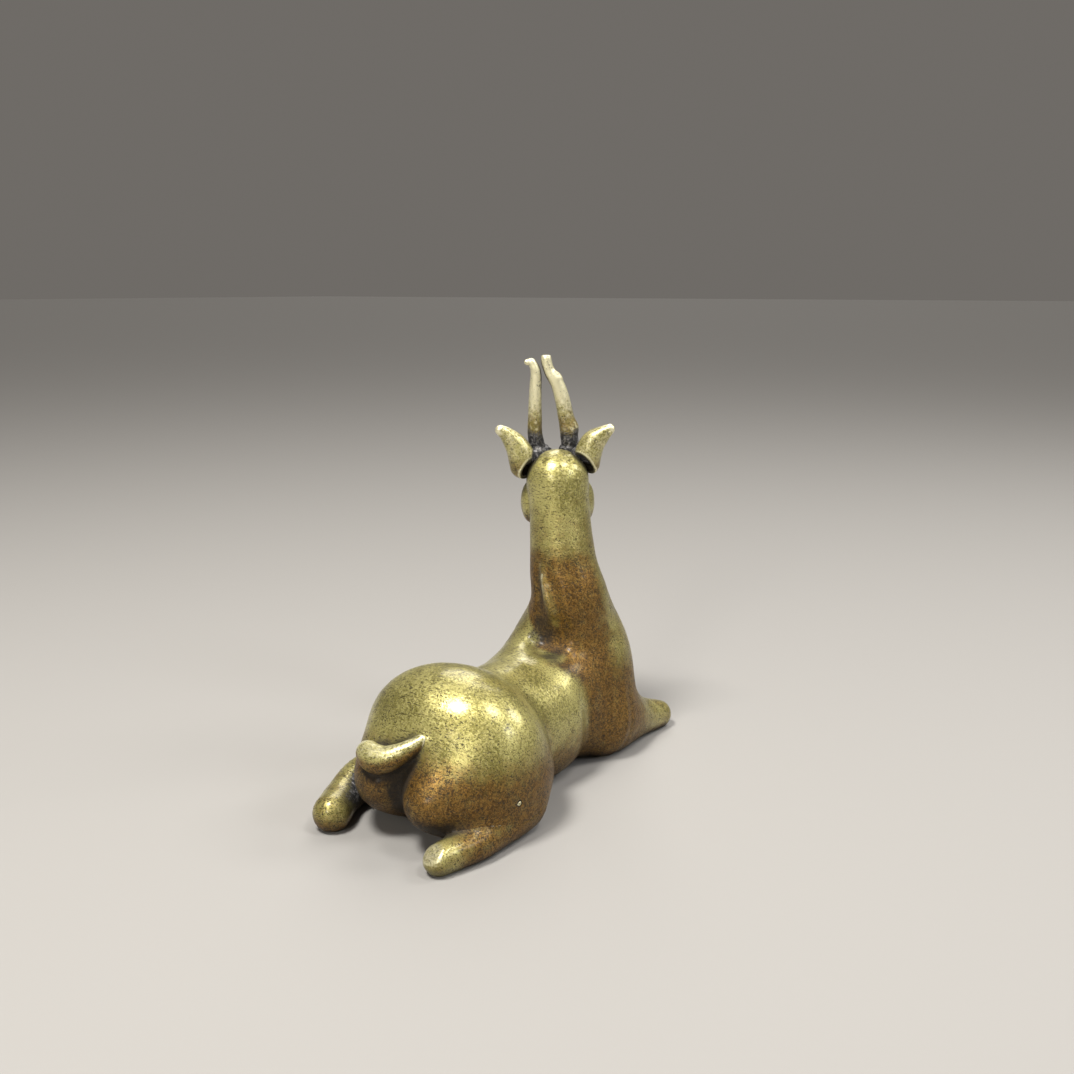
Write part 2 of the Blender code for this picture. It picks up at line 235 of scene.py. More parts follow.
def limb(p, points, steps=8):
    """Distance to a tapered tube with round ends that follows a smooth route.

    Beyond LIMB_REACH from the tube's box it is only the distance to that box, which is enough there.
    """
    route = smooth_route(points, steps)
    low = (route[:, :3] - route[:, 3:]).min(axis=0)
    high = (route[:, :3] + route[:, 3:]).max(axis=0)
    away = np.linalg.norm(np.maximum(np.maximum(low - p, p - high), 0), axis=1)
    near = away < LIMB_REACH
    q = p[near]
    nearest = np.full(len(q), FAR)
    for start, end in zip(route, route[1:]):
        way = end[:3] - start[:3]
        t = np.clip((q - start[:3]) @ way / (way @ way), 0, 1)
        gap = np.linalg.norm(q - start[:3] - t[:, None] * way, axis=1)
        np.minimum(nearest, gap - start[3] - t * (end[3] - start[3]), out=nearest)
    away[near] = nearest
    return away


def join(a, b, soft):
    """The union of two shapes, with a fillet about as wide as soft."""
    near = np.maximum(soft - np.abs(a - b), 0) / soft
    return np.minimum(a, b) - near**3 * soft / 6


def both(a, b, soft):
    """What two shapes share, with its edge rounded."""
    return -join(-a, -b, soft)


def ease(low, high, value):
    """0 below low, 1 above high, and smooth between; high may be the smaller."""
    t = np.clip((value - low) / (high - low), 0, 1)
    return t * t * (3 - 2 * t)


def ripple(p, length, seed, waves=9):
    """A smooth uneven value from -1 to 1, whose bumps are about length apart."""
    chance = np.random.default_rng(seed)
    ways = chance.normal(size=(waves, 3))
    ways *= (2 * math.pi / length) / np.linalg.norm(ways, axis=1)[:, None]
    starts = chance.uniform(0, 2 * math.pi, waves)
    return np.sin(p @ ways.T + starts).mean(axis=1)


# The deer's shapes

# Folds and ridges pressed into the skin: points along them, then a radius
NECK_GROOVE = (
    (1.8, -8.6, 39.5, 0.3),
    (1.6, -8.1, 36.4, 0.8),
    (0.9, -7.6, 32.4, 1.0),
    (0.3, -7.0, 29.3, 1.1),
    (-0.5, -5.9, 25.6, 1.4),
)
NECK_RIDGE = (
    (0.9, -10.6, 40.5, 0.4),
    (0.3, -9.1, 37.2, 0.9),
    (-0.1, -8.7, 35.4, 0.95),
    (-1.3, -8.2, 33.1, 0.95),
    (-2.5, -8.0, 30.5, 0.95),
    (-3.0, -8.3, 28.2, 0.6),
)
NECK_FOLD = (
    (-2.6, -8.0, 36.5, 0.3),
    (-3.7, -7.2, 33.4, 0.7),
    (-4.4, -6.8, 30.7, 0.9),
    (-4.8, -5.7, 26.4, 1.3),
)
NAPE_HOLLOW = ((-3.0, -5.4, 25.8), (4.4, 2.6, 3.0))
SHOULDER_FOLD = (
    (-11.8, -5.0, 20.4, 0.6),
    (-13.9, -4.9, 15.4, 1.3),
    (-14.3, -5.0, 11.0, 1.4),
    (-13.6, -5.8, 7.0, 1.4),
    (-12.2, -6.4, 3.5, 1.4),
    (-10.0, -6.9, 0.0, 1.4),
)
FLANK_FOLD = (
    (-13.4, 12.6, 22.4, 0.8),
    (-16.2, 12.8, 16.9, 1.0),
    (-16.6, 11.4, 12.0, 1.2),
    (-15.3, 10.6, 7.0, 1.2),
    (-12.6, 10.0, 2.0, 1.2),
)

# The flat worn on the right hoof: a place, the way that the flat faces and how far out from the place it is
HOOF_FACET = ((-11.9, 39.7, 2.4), (0.23, 0.57, 0.79), 1.95)

# How wide the fillet or the rounded edge of each joint and fold is
HAUNCH_FILLET = 3.0
BUTTOCK_CLEFT = 2.2
BUTTOCK_FILLET = 9.0
TRUNK_FILLET = 3.5
NECK_FILLET = 6.0
SHOULDER_FILLET = 6.0
FORELEG_FILLET = 7.0
MUZZLE_FILLET = 3.0
CHEEK_FILLET = 0.7
EYE_FILLET = 0.2
RIDGE_FILLET = 1.3
NECK_FOLD_EDGE = 1.8
NAPE_EDGE = 5.0
SHOULDER_FOLD_EDGE = 3.4
FLANK_FOLD_EDGE = 2.2
HOOF_EDGE = 1.2
EYE_RING_EDGE = 0.3
NOSTRIL_EDGE = 0.4
MOUTH_EDGE = 0.4

# The groove round each eye: half its width, and how far out from the eye its middle is
EYE_RING = 0.16
EYE_RING_OUT = 0.1

# How many straight steps each stretch of a long limb has
NECK_STEPS = 8
TRUNK_STEPS = 14
HORN_STEPS = 6


def torso(p):
    hind = ellipsoid(p, *RUMP)
    for haunch in (HAUNCH_RIGHT, HAUNCH_LEFT):
        hind = join(hind, ellipsoid(p, *haunch), HAUNCH_FILLET)
    buttocks = join(ellipsoid(p, *BUTTOCK_RIGHT), ellipsoid(p, *BUTTOCK_LEFT), BUTTOCK_CLEFT)
    hind = join(hind, buttocks, BUTTOCK_FILLET)
    front = join(ellipsoid(p, *CHEST), limb(p, NECK, NECK_STEPS), NECK_FILLET)
    trunk = join(hind, limb(p, TRUNK, TRUNK_STEPS), TRUNK_FILLET)
    return join(trunk, front, SHOULDER_FILLET)


def folds(p, skin):
    """Presses the folds into a skin and raises its ridge."""
    skin = join(skin, limb(p, NECK_RIDGE), RIDGE_FILLET)
    for groove in (NECK_GROOVE, NECK_FOLD):
        skin = both(skin, -limb(p, groove), NECK_FOLD_EDGE)
    skin = both(skin, -ellipsoid(p, *NAPE_HOLLOW), NAPE_EDGE)
    for fold in (SHOULDER_FOLD, mirrored(SHOULDER_FOLD[2:])):
        skin = both(skin, -limb(p, fold), SHOULDER_FOLD_EDGE)
    for fold in (FLANK_FOLD, mirrored(FLANK_FOLD)):
        skin = both(skin, -limb(p, fold), FLANK_FOLD_EDGE)
    return skin


def on_each_side(place):
    """A place on the head and its mirror image, the left one first."""
    across, forward, up = place
    return [on_head(side * across, forward, up) for side in (-1, 1)]


def face_details(p, skin):
    for place in on_each_side(CHEEK_PLACE):
        skin = join(skin, ellipsoid(p, place, CHEEK_RADII, HEAD_TURN), CHEEK_FILLET)
    for place in on_each_side(EYE_PLACE):
        eye = ellipsoid(p, place, EYE_RADII, HEAD_TURN)
        skin = both(skin, EYE_RING - np.abs(eye - EYE_RING_OUT), EYE_RING_EDGE)
        skin = join(skin, eye, EYE_FILLET)
    for place in on_each_side(NOSTRIL_PLACE):
        skin = both(skin, NOSTRIL_RADIUS - np.linalg.norm(p - place, axis=1), NOSTRIL_EDGE)
    return both(skin, -limb(p, head_route(MOUTH)), MOUTH_EDGE)


def body_alone(p):
    skin = folds(p, torso(p))
    for foreleg in (FORELEG, mirrored(FORELEG)):
        skin = join(skin, limb(p, foreleg), FORELEG_FILLET)
    skin = join(skin, limb(p, head_route(MUZZLE)), MUZZLE_FILLET)
    return face_details(p, skin)


def leg_right(p):
    leg = limb(p, HIND_LEG_RIGHT)
    place, way, depth = HOOF_FACET
    return both(leg, (p - np.array(place)) @ np.array(way) - depth, HOOF_EDGE)


def leg_left(p):
    return limb(p, HIND_LEG_LEFT)


def tail_alone(p):
    return limb(p, TAIL)


# Each attached piece alone, and how wide its fillet with the body is
ATTACHED = {
    "hind_leg_right": (leg_right, 3.0),
    "hind_leg_left": (leg_left, 2.2),
    "tail": (tail_alone, 1.4),
}

# How far the body runs on under an attached piece, how deep it sinks there, over what distance it sinks,
# and how round the pieces' edges are
SEAM_OVERLAP = 0.35
SEAM_SINK = 0.07
SEAM_SLOPE = 0.1
SEAM_EDGE = 0.06

# Hand-made unevenness of the skin: how deep, how far apart and the seed of each ripple
UNEVEN = ((0.05, 7.0, 11), (0.02, 2.4, 12))
SOLE_EDGE = 0.5

# The recess that the belly plate lies in
RECESS_WIDTH = 10.6
RECESS_LENGTH = 34.6
RECESS_DEPTH = 1.9


def whole(p, body):
    """The body with its legs and tail grown into it, standing on the ground."""
    skin = body
    for shape, soft in ATTACHED.values():
        skin = join(skin, shape(p), soft)
    for height, length, seed in UNEVEN:
        skin = skin + height * ripple(p, length, seed)
    return both(skin, -p[:, 2], SOLE_EDGE)


def obround(p, centre, width, length, depth):
    """An upright prism with round ends, from the ground up to its depth."""
    flat = p[:, :2] - np.array(centre)
    flat[:, 1] -= np.clip(flat[:, 1], -(length - width) / 2, (length - width) / 2)
    side = np.linalg.norm(flat, axis=1) - width / 2
    return np.maximum(side, p[:, 2] - depth)


def body_casting(p):
    """The deer without its attached pieces, which it runs under for a little way, just below their skin."""
    body = body_alone(p)
    skin = whole(p, body)
    for shape, _ in ATTACHED.values():
        under = (body - shape(p)) / 2
        skin = skin + SEAM_SINK * ease(-SEAM_SLOPE, SEAM_SLOPE, under)
        skin = both(skin, under - SEAM_OVERLAP, SEAM_EDGE)
    recess = obround(p, PLATE_CENTRE, RECESS_WIDTH, RECESS_LENGTH, RECESS_DEPTH)
    return np.maximum(skin, -recess)


def attached_piece(name):
    shape, _ = ATTACHED[name]

    def piece(p):
        body = body_alone(p)
        return both(whole(p, body), (shape(p) - body) / 2, SEAM_EDGE)

    return piece


HORN_LUMP_FILLET = 1.3
HORN_TOP_EDGE = 0.9
HORN_UNEVEN = ((0.10, 3.2), (0.04, 1.1))
EAR_RIM_EDGE = 0.3
EAR_SLOT_FILLET = 0.5
EAR_HOLLOW_EDGE = 0.35
EAR_UNEVEN = (0.05, 2.4, 31)


def horn(points, seed, top=None, lumps=()):
    route = head_route(points)
    (coarse, coarse_length), (fine, fine_length) = HORN_UNEVEN

    def piece(p):
        uneven = coarse * ripple(p, coarse_length, seed) + fine * ripple(p, fine_length, seed + 1)
        skin = limb(p, route, HORN_STEPS)
        for *place, radius in lumps:
            lump = np.linalg.norm(p - on_head(*place), axis=1) - radius
            skin = join(skin, lump, HORN_LUMP_FILLET)
        skin = skin + uneven
        return skin if top is None else both(skin, p[:, 2] - top, HORN_TOP_EDGE)

    return piece


def ear(points, mouth):
    """A leaf of metal: a limb that is hollow, and open towards the head and forwards."""
    outer = head_route(points)
    side = math.copysign(1, points[0][0])
    out, forward, up = EAR_SLOT_SHIFT
    shift = HEAD_RIGHT * side * out + HEAD_FORWARD * forward + HEAD_UP * up
    inner = [(*place, radius - EAR_WALL) for *place, radius in outer[1:]]
    slot = [
        (*(np.array(place) + shift), radius - EAR_SLOT_WALL) for *place, radius in outer[EAR_SLOT_POINTS]
    ]
    middle = on_head(*mouth[0])
    way = head_way(*mouth[1])
    height, length, seed = EAR_UNEVEN

    def piece(p):
        leaf = both(limb(p, outer), (p - middle) @ way, EAR_RIM_EDGE)
        hollow = join(limb(p, inner), limb(p, slot), EAR_SLOT_FILLET)
        return both(leaf, -hollow, EAR_HOLLOW_EDGE) + height * ripple(p, length, seed)

    return piece


LEFT_HORN = horn(HORN_LEFT, 21)
RIGHT_HORN = horn(HORN_RIGHT, 23, HORN_RIGHT_TOP, HORN_RIGHT_LUMPS)
LEFT_EAR = ear(EAR_LEFT, EAR_MOUTH_LEFT)
RIGHT_EAR = ear(EAR_RIGHT, EAR_MOUTH_RIGHT)


# Turning shapes into meshes


def surface_nets(field, origin, step):
    """Points and quads of the surface where a grid of distances changes sign."""
    inside = field < 0
    corners = [(i, j, k) for i in (0, 1) for j in (0, 1) for k in (0, 1)]
    n = np.array(field.shape)
    filled = sum(
        inside[i : n[0] - 1 + i, j : n[1] - 1 + j, k : n[2] - 1 + k].astype(np.int8) for i, j, k in corners
    )
    cells = np.argwhere((filled > 0) & (filled < 8))
    index = np.full(filled.shape, -1, np.int64)
    index[tuple(cells.T)] = np.arange(len(cells))
    values = {corner: field[tuple((cells + corner).T)] for corner in corners}
    total = np.zeros((len(cells), 3))
    count = np.zeros(len(cells))
    for corner in corners:
        for axis in range(3):
            if corner[axis]:
                continue
            other = tuple(1 if k == axis else corner[k] for k in range(3))
            start, end = values[corner], values[other]
            crosses = (start < 0) != (end < 0)
            total[crosses] += corner
            total[crosses, axis] += start[crosses] / (start[crosses] - end[crosses])
            count[crosses] += 1
    points = origin + step * (cells + total / count[:, None])
    quads = []
    for axis in range(3):
        low, high = [slice(1, -1)] * 3, [slice(1, -1)] * 3
        low[axis], high[axis] = slice(0, -1), slice(1, None)
        here, there = inside[tuple(low)], inside[tuple(high)]
        u, v = (axis + 1) % 3, (axis + 2) % 3
        across, along = np.eye(3, dtype=int)[u], np.eye(3, dtype=int)[v]
        margin = across + along
        for outward, edges in ((True, here & ~there), (False, ~here & there)):
            cell = np.argwhere(edges) + margin
            ring = [cell - across - along, cell - along, cell, cell - across]
            ring = ring if outward else ring[::-1]
            quads.append(np.stack([index[tuple(corner.T)] for corner in ring], axis=1))
    return points, np.concatenate(quads)


# Points along each side of a block of the grid, how far round a block's middle the surface may pass,
# in blocks, the points that one worker takes at a time, and how many workers there are
BLOCK = 5
BLOCK_REACH = 1.2
SHARE = 20000
WORKERS = 4

# How far apart the four distances are that give a slope, and the least slope that a point moves along
SLOPE_REACH = 0.06
LEAST_SLOPE = 0.1


def spread(shape, p):
    """The shape's distance at many points, worked out in slices side by side."""
    slices = [p[start : start + SHARE] for start in range(0, len(p), SHARE)]
    with ThreadPoolExecutor(WORKERS) as workers:
        return np.concatenate(list(workers.map(shape, slices)))


def sampled(shape, low, high, step):
    """A grid of distances, exact only in the blocks near the surface."""
    side = step * BLOCK
    counts = np.ceil((np.array(high) - low) / side).astype(int)
    middles = [low[k] + side * (np.arange(counts[k]) + 0.5) - step / 2 for k in range(3)]
    places = np.stack(np.meshgrid(*middles, indexing="ij"), axis=-1).reshape(-1, 3)
    coarse = spread(shape, places).reshape(counts)
    reach = side * BLOCK_REACH + step
    cube = np.ones((BLOCK,) * 3)
    field = np.kron(np.sign(coarse) * reach, cube)
    where = np.argwhere(np.kron(np.abs(coarse) < reach, cube) > 0)
    field[tuple(where.T)] = spread(shape, low + step * where)
    return field


def slope(shape, p):
    """Which way the distance grows at each point, and the distance there."""
    corners = np.array([(1, -1, -1), (-1, -1, 1), (-1, 1, -1), (1, 1, 1)])
    values = [spread(shape, p + corner * SLOPE_REACH) for corner in corners]
    way = sum(value[:, None] * corner for value, corner in zip(values, corners)) / (4 * SLOPE_REACH)
    return way, sum(values) / 4


def sculpt(shape, low, high, step):
    """Points, quads and outward normals of a shape inside a box.

    Each point of the net moves once along the slope, onto the surface.
    """
    low = np.array(low, float)
    points, quads = surface_nets(sampled(shape, low, high, step), low, step)
    way, away = slope(shape, points)
    move = way * (away / np.maximum((way * way).sum(axis=1), LEAST_SLOPE))[:, None]
    size = np.linalg.norm(move, axis=1)
    points = points - move * np.minimum(1, step / 2 / np.maximum(size, SMALL))[:, None]
    normals, _ = slope(shape, points)
    return points, quads, normals / np.maximum(np.linalg.norm(normals, axis=1), SMALL)[:, None]


def make_piece(name, points, quads, normals, marks, material):
    mesh = bpy.data.meshes.new(name)
    mesh.from_pydata(((points + SHIFT) * MM).tolist(), [], quads.tolist())
    mesh.shade_smooth()
    mesh.normals_split_custom_set_from_vertices(normals.tolist())
    for mark, values in marks.items():
        mesh.attributes.new(mark, "FLOAT", "POINT").data.foreach_set("value", values.astype(np.float32))
    mesh.materials.append(material)
    obj = bpy.data.objects.new(name, mesh)
    bpy.context.scene.collection.objects.link(obj)
    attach(obj, "root")
    return obj


# How hollow, worn, brown and grey the skin is: painted shade, wear with painted highlights, patina with
# brown painted shade, and solder


def outside_of_head(p):
    """The horns and ears as one shape, for the shade that they throw on the head."""
    return np.min([shape(p) for shape in (LEFT_HORN, RIGHT_HORN, LEFT_EAR, RIGHT_EAR)], axis=0)


# Dark spots: dirt with painted shade in the hollow of the nape and along the shoulder, and painted shade
# above and under the tail and under the rump: each place, how far round it the darkening reaches and how
# strong it is
DIRT_AND_SHADE_SPOTS = (
    (1.5, -8.6, 36.0, 1.5, 0.35),
    (0.8, -8.1, 31.8, 1.7, 0.40),
    (0.1, -7.2, 27.8, 3.0, 0.50),
    (-0.8, -6.6, 25.8, 4.4, 0.50),
    (-4.1, -5.0, 23.8, 3.8, 0.68),
    (-6.3, -2.8, 22.2, 3.0, 0.46),
    (-8.4, -3.6, 21.0, 3.0, 0.48),
    (-10.6, -5.4, 19.1, 3.2, 0.42),
    (-5.0, 38.0, 7.0, 6.0, 0.52),
    (1.6, 34.8, 18.2, 2.4, 0.30),
    (-1.4, 33.4, 18.9, 2.0, 0.30),
    (-0.9, 36.0, 10.0, 4.8, 0.62),
    (-0.4, 34.0, 4.0, 6.5, 0.60),
    (5.5, 35.6, 8.6, 6.8, 0.62),
)
# Painted shade along the neck's grooves: each groove and how strong the shade is
GROOVE_SHADE = ((NECK_GROOVE, 0.5), (NECK_FOLD, 0.3))

# The horns and ears throw shade on the skin above this height
HEAD_HEIGHT = 50.0

# Distances out from the skin at which its surroundings are felt, and how much each counts
SHADE_REACHES = ((0.6, 0.3), (1.6, 0.35), (4.0, 0.35))

# The sharpest bend that counts, and how many times the bends are evened out along the skin
BEND_LIMIT = 2.0
BEND_SMOOTHING = 3


def deer(p):
    skin = whole(p, body_alone(p))
    near = p[:, 2] > HEAD_HEIGHT
    skin[near] = np.minimum(skin[near], outside_of_head(p[near]))
    return skin


def painted_shade_mark(shape, points, normals):
    """Painted shade: 0 in the open, towards 1 where the skin around rises above the point."""
    total = np.zeros(len(points))
    for reach, share in SHADE_REACHES:
        total += share * np.clip(1 - spread(shape, points + normals * reach) / reach, 0, 1)
    return total


def bend(points, quads, normals):
    """How sharply the skin bends, in radians per millimetre: above 0 on edges, below 0 in creases."""
    start, end = quads.ravel(), np.roll(quads, -1, axis=1).ravel()
    edge = points[end] - points[start]
    turn = ((normals[end] - normals[start]) * edge).sum(axis=1) / np.maximum((edge**2).sum(axis=1), SMALL)
    turn = np.clip(turn, -BEND_LIMIT, BEND_LIMIT)
    size = len(points)
    count = np.bincount(start, minlength=size) + np.bincount(end, minlength=size)
    value = (np.bincount(start, turn, size) + np.bincount(end, turn, size)) / count
    for _ in range(BEND_SMOOTHING):
        around = (np.bincount(start, value[end], size) + np.bincount(end, value[start], size)) / count
        value = (value + around) / 2
    return value


def away_from(points, place):
    return np.linalg.norm(points - np.array(place), axis=1)


# The brown of the nape ends behind on a line across the back, which bulges back over the right shoulder,
# and on the deer's left on a line that leans out as it climbs
NAPE_BEHIND = -5.2
NAPE_BULGE = 4.2
NAPE_BULGE_MIDDLE = -4.5
NAPE_BULGE_WIDTH = 4.5
NAPE_LEFT = 0.5
NAPE_LEFT_LEAN = 0.9
NAPE_LEFT_HEIGHT = 24.5

# Behind this place the brown of the rump climbs, by this much for each millimetre
RUMP_CLIMB_FROM = 31.0
RUMP_CLIMB = 0.5


def body_brown(points, normals):
    """Brown: patina on the nape, patina with painted shade on the chest, and brown painted shade on the
    neck's front, the belly, the lower rump and all that faces down; along the neck's ridge it thins as a
    painted highlight.

    Each ease() fades the brown from none at its first value to all of it at its second.
    """
    x, y, z = points.T
    facing_up = normals[:, 2]
    bulge = NAPE_BULGE * np.exp(-(((x - NAPE_BULGE_MIDDLE) / NAPE_BULGE_WIDTH) ** 2)) * ease(17.0, 21.0, z)
    behind = bulge + NAPE_BEHIND
    left_limit = NAPE_LEFT + NAPE_LEFT_LEAN * np.maximum(z - NAPE_LEFT_HEIGHT, 0)
    nape = ease(46.5, 37.5, z) * ease(-20.5, -12.5, y) * ease(1.6, -1.8, y - behind)
    nape = nape * ease(1.2, -1.2, x - left_limit) * ease(1.02, 0.84, facing_up)
    # Brown painted shade on the neck's front
    dusk = 0.34 * ease(56.0, 43.0, z) * ease(14.0, 22.0, z) * ease(-6.0, -9.0, y)
    # The brown thins along the neck's ridge, a painted highlight
    ridge = 1 - 0.35 * ease(0.8, 0.1, limb(points, NECK_RIDGE))
    foreleg = 1 - 0.65 * ease(-21.0, -27.0, y) * ease(15.0, 10.0, z)
    chest = 0.95 * ease(24.0, 15.0, z) * ease(-2.8, -8.5, y) * foreleg
    # Brown painted shade low on the rump, climbing behind, and low on the belly
    climbed = z - RUMP_CLIMB * np.maximum(y - RUMP_CLIMB_FROM, 0)
    rump = ease(19.4, 9.2, climbed) * ease(3.0, 12.0, y)
    belly = 0.85 * ease(15.0, 5.0, z)
    # Brown painted shade on all that faces down
    under = 0.8 * ease(0.1, -0.7, facing_up)
    return np.max([nape * ridge, dusk, chest, rump, belly * foreleg, under], axis=0)


def leg_right_brown(points, normals):
    """Brown all over but on the hoof, and most of all underneath, where the extra brown is painted shade.
    """
    hoof = ease(2.6, 5.5, away_from(points, HOOF_FACET[0]))
    return (0.8 + 0.2 * ease(0.5, -0.3, normals[:, 2])) * (0.30 + 0.70 * hoof)


def leg_left_brown(points, normals):
    # Brown all over, with more underneath as brown painted shade
    return 0.30 + 0.6 * ease(0.35, -0.5, normals[:, 2])


def tail_brown(points, normals):
    # Brown underneath only: painted shade under a tail lit from above
    return 0.9 * ease(0.55, -0.1, normals[:, 2])


def horn_brown(points, normals):
    return 0.10 + 0.50 * ease(72.0, 65.0, points[:, 2])


def ear_brown(points, normals):
    return 0.1 + 0.5 * ease(61.0, 57.0, points[:, 2])


def no_brown(points, normals):
    return np.zeros(len(points))


# Where the painted highlight on the top of the shoulders sits
SHOULDER_GLINT_PLACE = (-3.1, 0.3, 23.0)


def rubbed(points, normals):
    """Where hands rub the most: head, horns and the right hoof; the pale on the tail's top, on the top of
    the shoulders and along the neck's ridge is a painted highlight.
    """
    z = points[:, 2]
    place, way, depth = HOOF_FACET
    flat = np.array(place) + np.array(way) * depth
    hoof = 0.7 * ease(3.2, 1.0, away_from(points, flat)) * ease(0.3, 0.9, normals @ np.array(way))
    # Painted highlight along the top of the neck's ridge
    ridge = 0.3 * ease(0.45, 0.0, limb(points, NECK_RIDGE)) * ease(31.0, 36.0, z)
    # Painted highlight on the tail's upper side
    tail = 0.22 * ease(0.4, 0.0, limb(points, TAIL)) * ease(0.2, 0.8, normals[:, 2])
    # Painted highlight: a glint on the top of the shoulders
    shoulder_glint = 0.6 * ease(2.8, 0.8, away_from(points, SHOULDER_GLINT_PLACE))
    high = 0.22 * ease(47.0, 58.0, z) + 0.6 * ease(66.0, 75.0, z)
    return hoof + ridge + tail + shoulder_glint + high


def spots_and_painted_shade(points):
    """Darkening round the spots, dirt with painted shade, painted shade in the neck's grooves, and painted
    shade near the ground.
    """
    dirt_and_shade = np.zeros(len(points))
    for *place, reach, strength in DIRT_AND_SHADE_SPOTS:
        dirt_and_shade = np.maximum(dirt_and_shade, strength * ease(reach, reach * 0.2, away_from(points, place)))
    for groove, strength in GROOVE_SHADE:
        dirt_and_shade = np.maximum(dirt_and_shade, strength * ease(0.7, -0.2, limb(points, groove)))
    # Painted shade near the ground
    return dirt_and_shade + 0.55 * ease(3.4, 0.4, points[:, 2])


def grey_mark(points, place, reach):
    """Solder smeared round a place."""
    return ease(reach, reach * 0.45, away_from(points, place))


def marks_of(points, quads, normals, brown, grey):
    """The four values that the metals read at each point."""
    bends = bend(points, quads, normals)
    # Painted shade gathers in the creases
    creases = ease(-0.10, -0.6, bends)
    edges = ease(0.25, 0.80, bends)
    return {
        # Painted shade in hollows and creases, with the spots' dirt and shade
        "hollow": 1.25 * painted_shade_mark(deer, points, normals) + 0.3 * creases + spots_and_painted_shade(points),
        # Wear on edges, with the painted highlights of rubbed()
        "wear_and_highlight": 0.8 * edges + rubbed(points, normals),
        "brown": brown(points, normals),
        "grey": grey(points),
    }


# Metals


class Wiring:
    """Short names for building a material's nodes."""

    def __init__(self, name):
        self.material = bpy.data.materials.new(name)
        self.material.use_nodes = True
        self.tree = self.material.node_tree
        self.shader = self.tree.nodes["Principled BSDF"]

    def put(self, socket, value):
        if isinstance(value, bpy.types.NodeSocket):
            self.tree.links.new(value, socket)
        elif isinstance(value, tuple) and len(value) == 3 and socket.type == "RGBA":
            socket.default_value = (*value, 1.0)
        else:
            socket.default_value = value

    def node(self, kind, settings=None, **inputs):
        made = self.tree.nodes.new(kind)
        for key, value in (settings or {}).items():
            setattr(made, key, value)
        for key, value in inputs.items():
            self.put(made.inputs[key.replace("_", " ")], value)
        return made

    def math(self, operation, *values):
        made = self.tree.nodes.new("ShaderNodeMath")
        made.operation = operation
        for socket, value in zip(made.inputs, values):
            self.put(socket, value)
        return made.outputs[0]

    def mark(self, name):
        return self.node("ShaderNodeAttribute", {"attribute_name": name}).outputs["Fac"]

    def noise(self, place, scale, detail=2.0, roughness=0.5, distortion=0.0):
        made = self.node(
            "ShaderNodeTexNoise",
            Vector=place,
            Scale=scale,
            Detail=detail,
            Roughness=roughness,
            Distortion=distortion,
        )
        return made.outputs["Fac"]

    def step(self, value, low, high, out_low=0.0, out_high=1.0):
        """Moves from out_low to out_high as the value goes from low to high."""
        made = self.tree.nodes.new("ShaderNodeMapRange")
        made.interpolation_type = "SMOOTHSTEP"
        for socket, number in zip(made.inputs, (value, low, high, out_low, out_high)):
            self.put(socket, number)
        return made.outputs[0]

    def mix(self, share, a, b):
        """Mixes two colours."""
        made = self.tree.nodes.new("ShaderNodeMix")
        made.data_type = "RGBA"
        self.put(made.inputs[0], share)
        self.put(made.inputs[6], a)
        self.put(made.inputs[7], b)
        return made.outputs[2]

    def blend(self, share, a, b):
        """Mixes two numbers."""
        made = self.tree.nodes.new("ShaderNodeMix")
        self.put(made.inputs[0], share)
        self.put(made.inputs[2], a)
        self.put(made.inputs[3], b)
        return made.outputs[0]

    def uneven(self, value, noise, strength):
        """Adds a noise to a value, as much up as down."""
        around_nothing = self.math("MULTIPLY", self.math("SUBTRACT", noise, 0.5), strength)
        return self.math("ADD", value, around_nothing)


OLIVE_LIGHT = (0.55, 0.50, 0.185)
OLIVE_DARK = (0.25, 0.222, 0.055)
# The brown of the patina, used too for brown painted shade
BROWN_LIGHT = (0.262, 0.139, 0.027)
BROWN_DARK = (0.052, 0.022, 0.005)
SPECK = (0.030, 0.020, 0.006)
# Near black for painted shade, and for dirt
SHADE = (0.010, 0.007, 0.004)
CREAM = (0.88, 0.83, 0.56)
SOLDER_LIGHT = (0.28, 0.27, 0.27)
SOLDER_DARK = (0.022, 0.022, 0.025)

# How many bumps each noise has in a millimetre
BROAD = 0.13
PATCHY = 0.50
GRAINY = 2.4
FINE = 5.5
FRECKLES = 1.7
MARKED = 1.7
CROWDS = 0.45
PITS = 1.25
SPECKS = 3.3
CURLS = 1.5
CRUST = 1.2

# How the straight scratches are turned, and how closely their noise is packed along and across them
SCRATCH_TURNS = ((0.3, 0.2, 0.9), (1.1, 0.5, -0.4), (-0.5, 0.9, 0.2))
SCRATCH_SCALE = (0.80, 4.2, 4.2)

# Metallic, roughness and relief, in millimetres, of each thing that the skin can be
METALLIC = {"olive": 0.62, "patina_and_shade": 0.72, "dots": 0.4, "dirt_and_shade": 0.2, "solder": 0.6}
ROUGHNESS = {
    "smooth": 0.30,
    "grainy": 0.40,
    "patina_and_shade": 0.50,
    "rubbed": 0.34,
    "dots": 0.60,
    "dirt_and_shade": 0.75,
    "solder": 0.55,
}
RELIEF = {"patchy": 0.10, "grainy": 0.036, "fine": 0.007, "dots": -0.030, "marks": -0.020, "crust": 0.28}

# The thin gloss over clean metal, and over the brown and the darkened places: patina, dirt and painted
# shade
COAT = 0.55
COAT_DULL = 0.12
COAT_ROUGHNESS = 0.20

# How much each layer hides the colour under it where it is thickest
COVER = {"dots": 0.88, "marks": 0.78, "rubbed": 0.9, "dirt_and_shade": 0.9}


